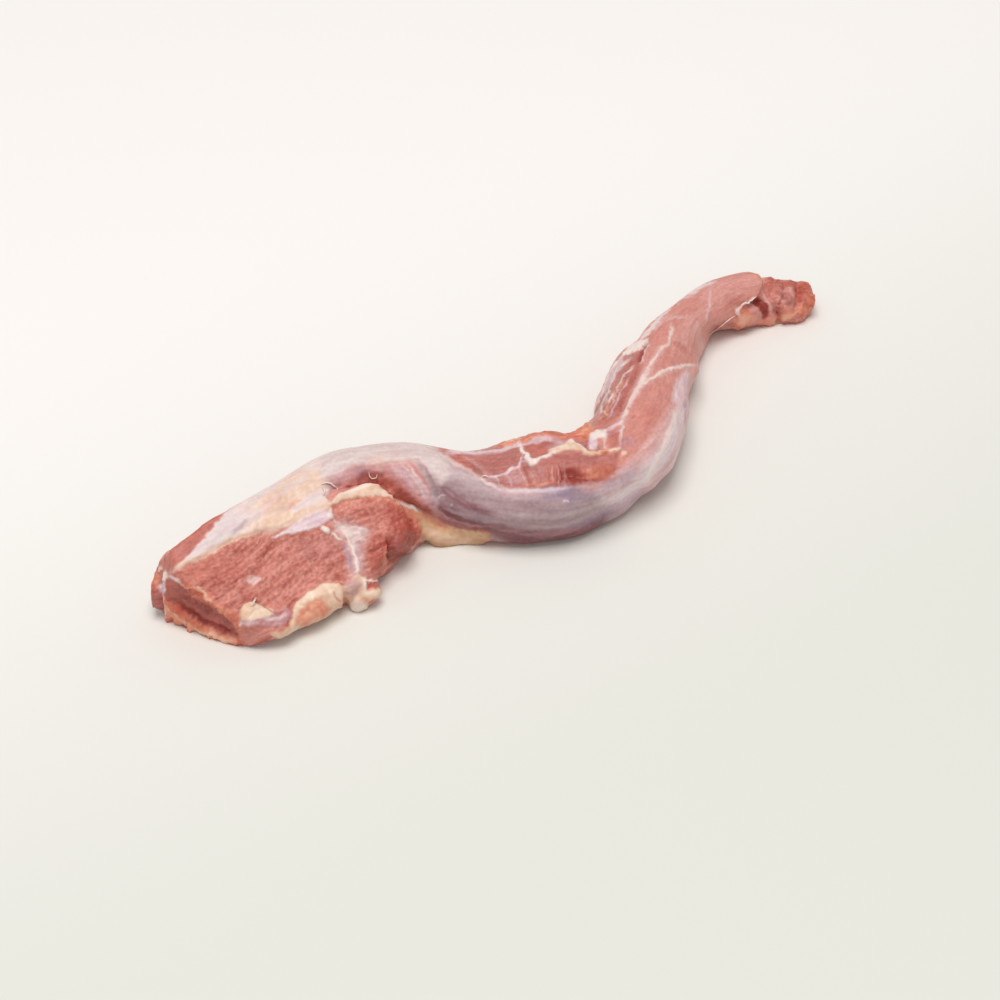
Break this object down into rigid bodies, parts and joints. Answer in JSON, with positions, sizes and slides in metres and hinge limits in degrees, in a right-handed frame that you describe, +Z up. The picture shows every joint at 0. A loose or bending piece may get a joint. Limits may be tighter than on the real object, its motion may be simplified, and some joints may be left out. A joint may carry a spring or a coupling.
{
  "type": "raw lamb fillet",
  "caption": "Raw lamb fillet: a long trimmed muscle with a thick knife-cut head, silverskin and fat, and a thin tail, lying in a loose S.",
  "frame": {"origin": "middle of the fillet's bounding box, on the table it lies on", "axes": "+Z up from the table, +X along the longer side of the box from the cut head towards the thin tail, +Y from the near side towards the far side"},
  "size_m": [0.194, 0.1628, 0.026],
  "materials": {
    "raw_lamb": "moist satin"
  },
  "bodies": {
    "root": {"lamb_fillet": "raw_lamb"}
  },
  "joints": []
}
